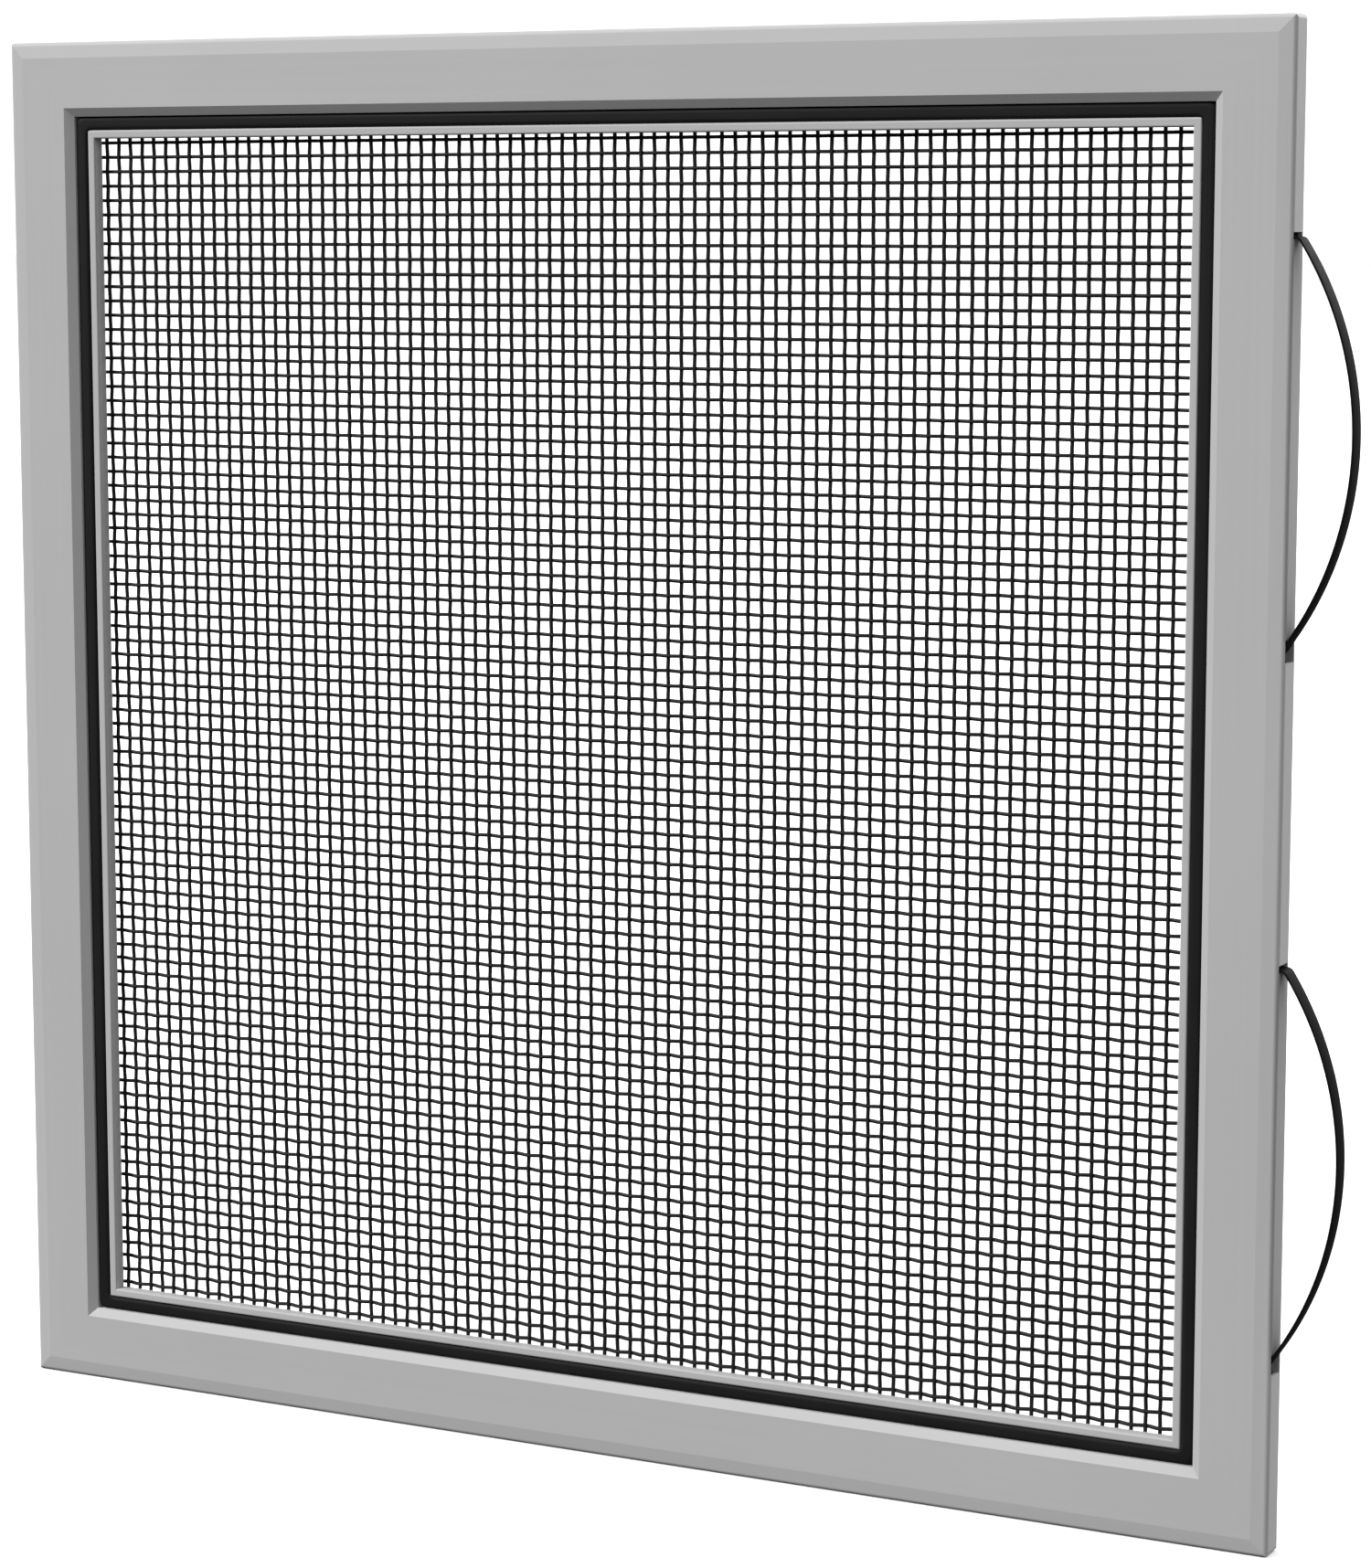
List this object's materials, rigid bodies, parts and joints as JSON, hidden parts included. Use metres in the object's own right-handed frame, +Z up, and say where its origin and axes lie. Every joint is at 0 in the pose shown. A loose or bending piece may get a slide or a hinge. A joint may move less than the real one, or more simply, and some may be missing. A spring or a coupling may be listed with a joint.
{
  "type": "window screen frame",
  "caption": "Flat rectangular insect screen: hollow mitred aluminium rails hold woven wire mesh under a cord, with a black seal in front and bow springs on one edge to press it into a track.",
  "frame": {"origin": "middle of the bottom edge, halfway through the frame's thickness; the bow springs don't count", "axes": "+Z up the frame, +X across it towards the springs, +Y through it from the front, with the black seal, to the back, with the mesh"},
  "size_m": [0.3752, 0.008, 0.365],
  "materials": {
    "rail": "satin grey paint on rolled aluminium",
    "key": "moulded nylon",
    "mesh": "charcoal coating on aluminium wire",
    "cord": "matte black ribbed vinyl",
    "spring": "blackened spring steel"
  },
  "bodies": {
    "root": {"bottom_rail": "rail", "right_stile": "rail", "top_rail": "rail", "left_stile": "rail", "bottom_left_key": "key", "bottom_right_key": "key", "top_right_key": "key", "top_left_key": "key", "seal_cord": "cord", "screen_mesh": "mesh", "spline_cord": "cord", "upper_bow_spring": "spring", "lower_bow_spring": "spring"}
  },
  "joints": []
}
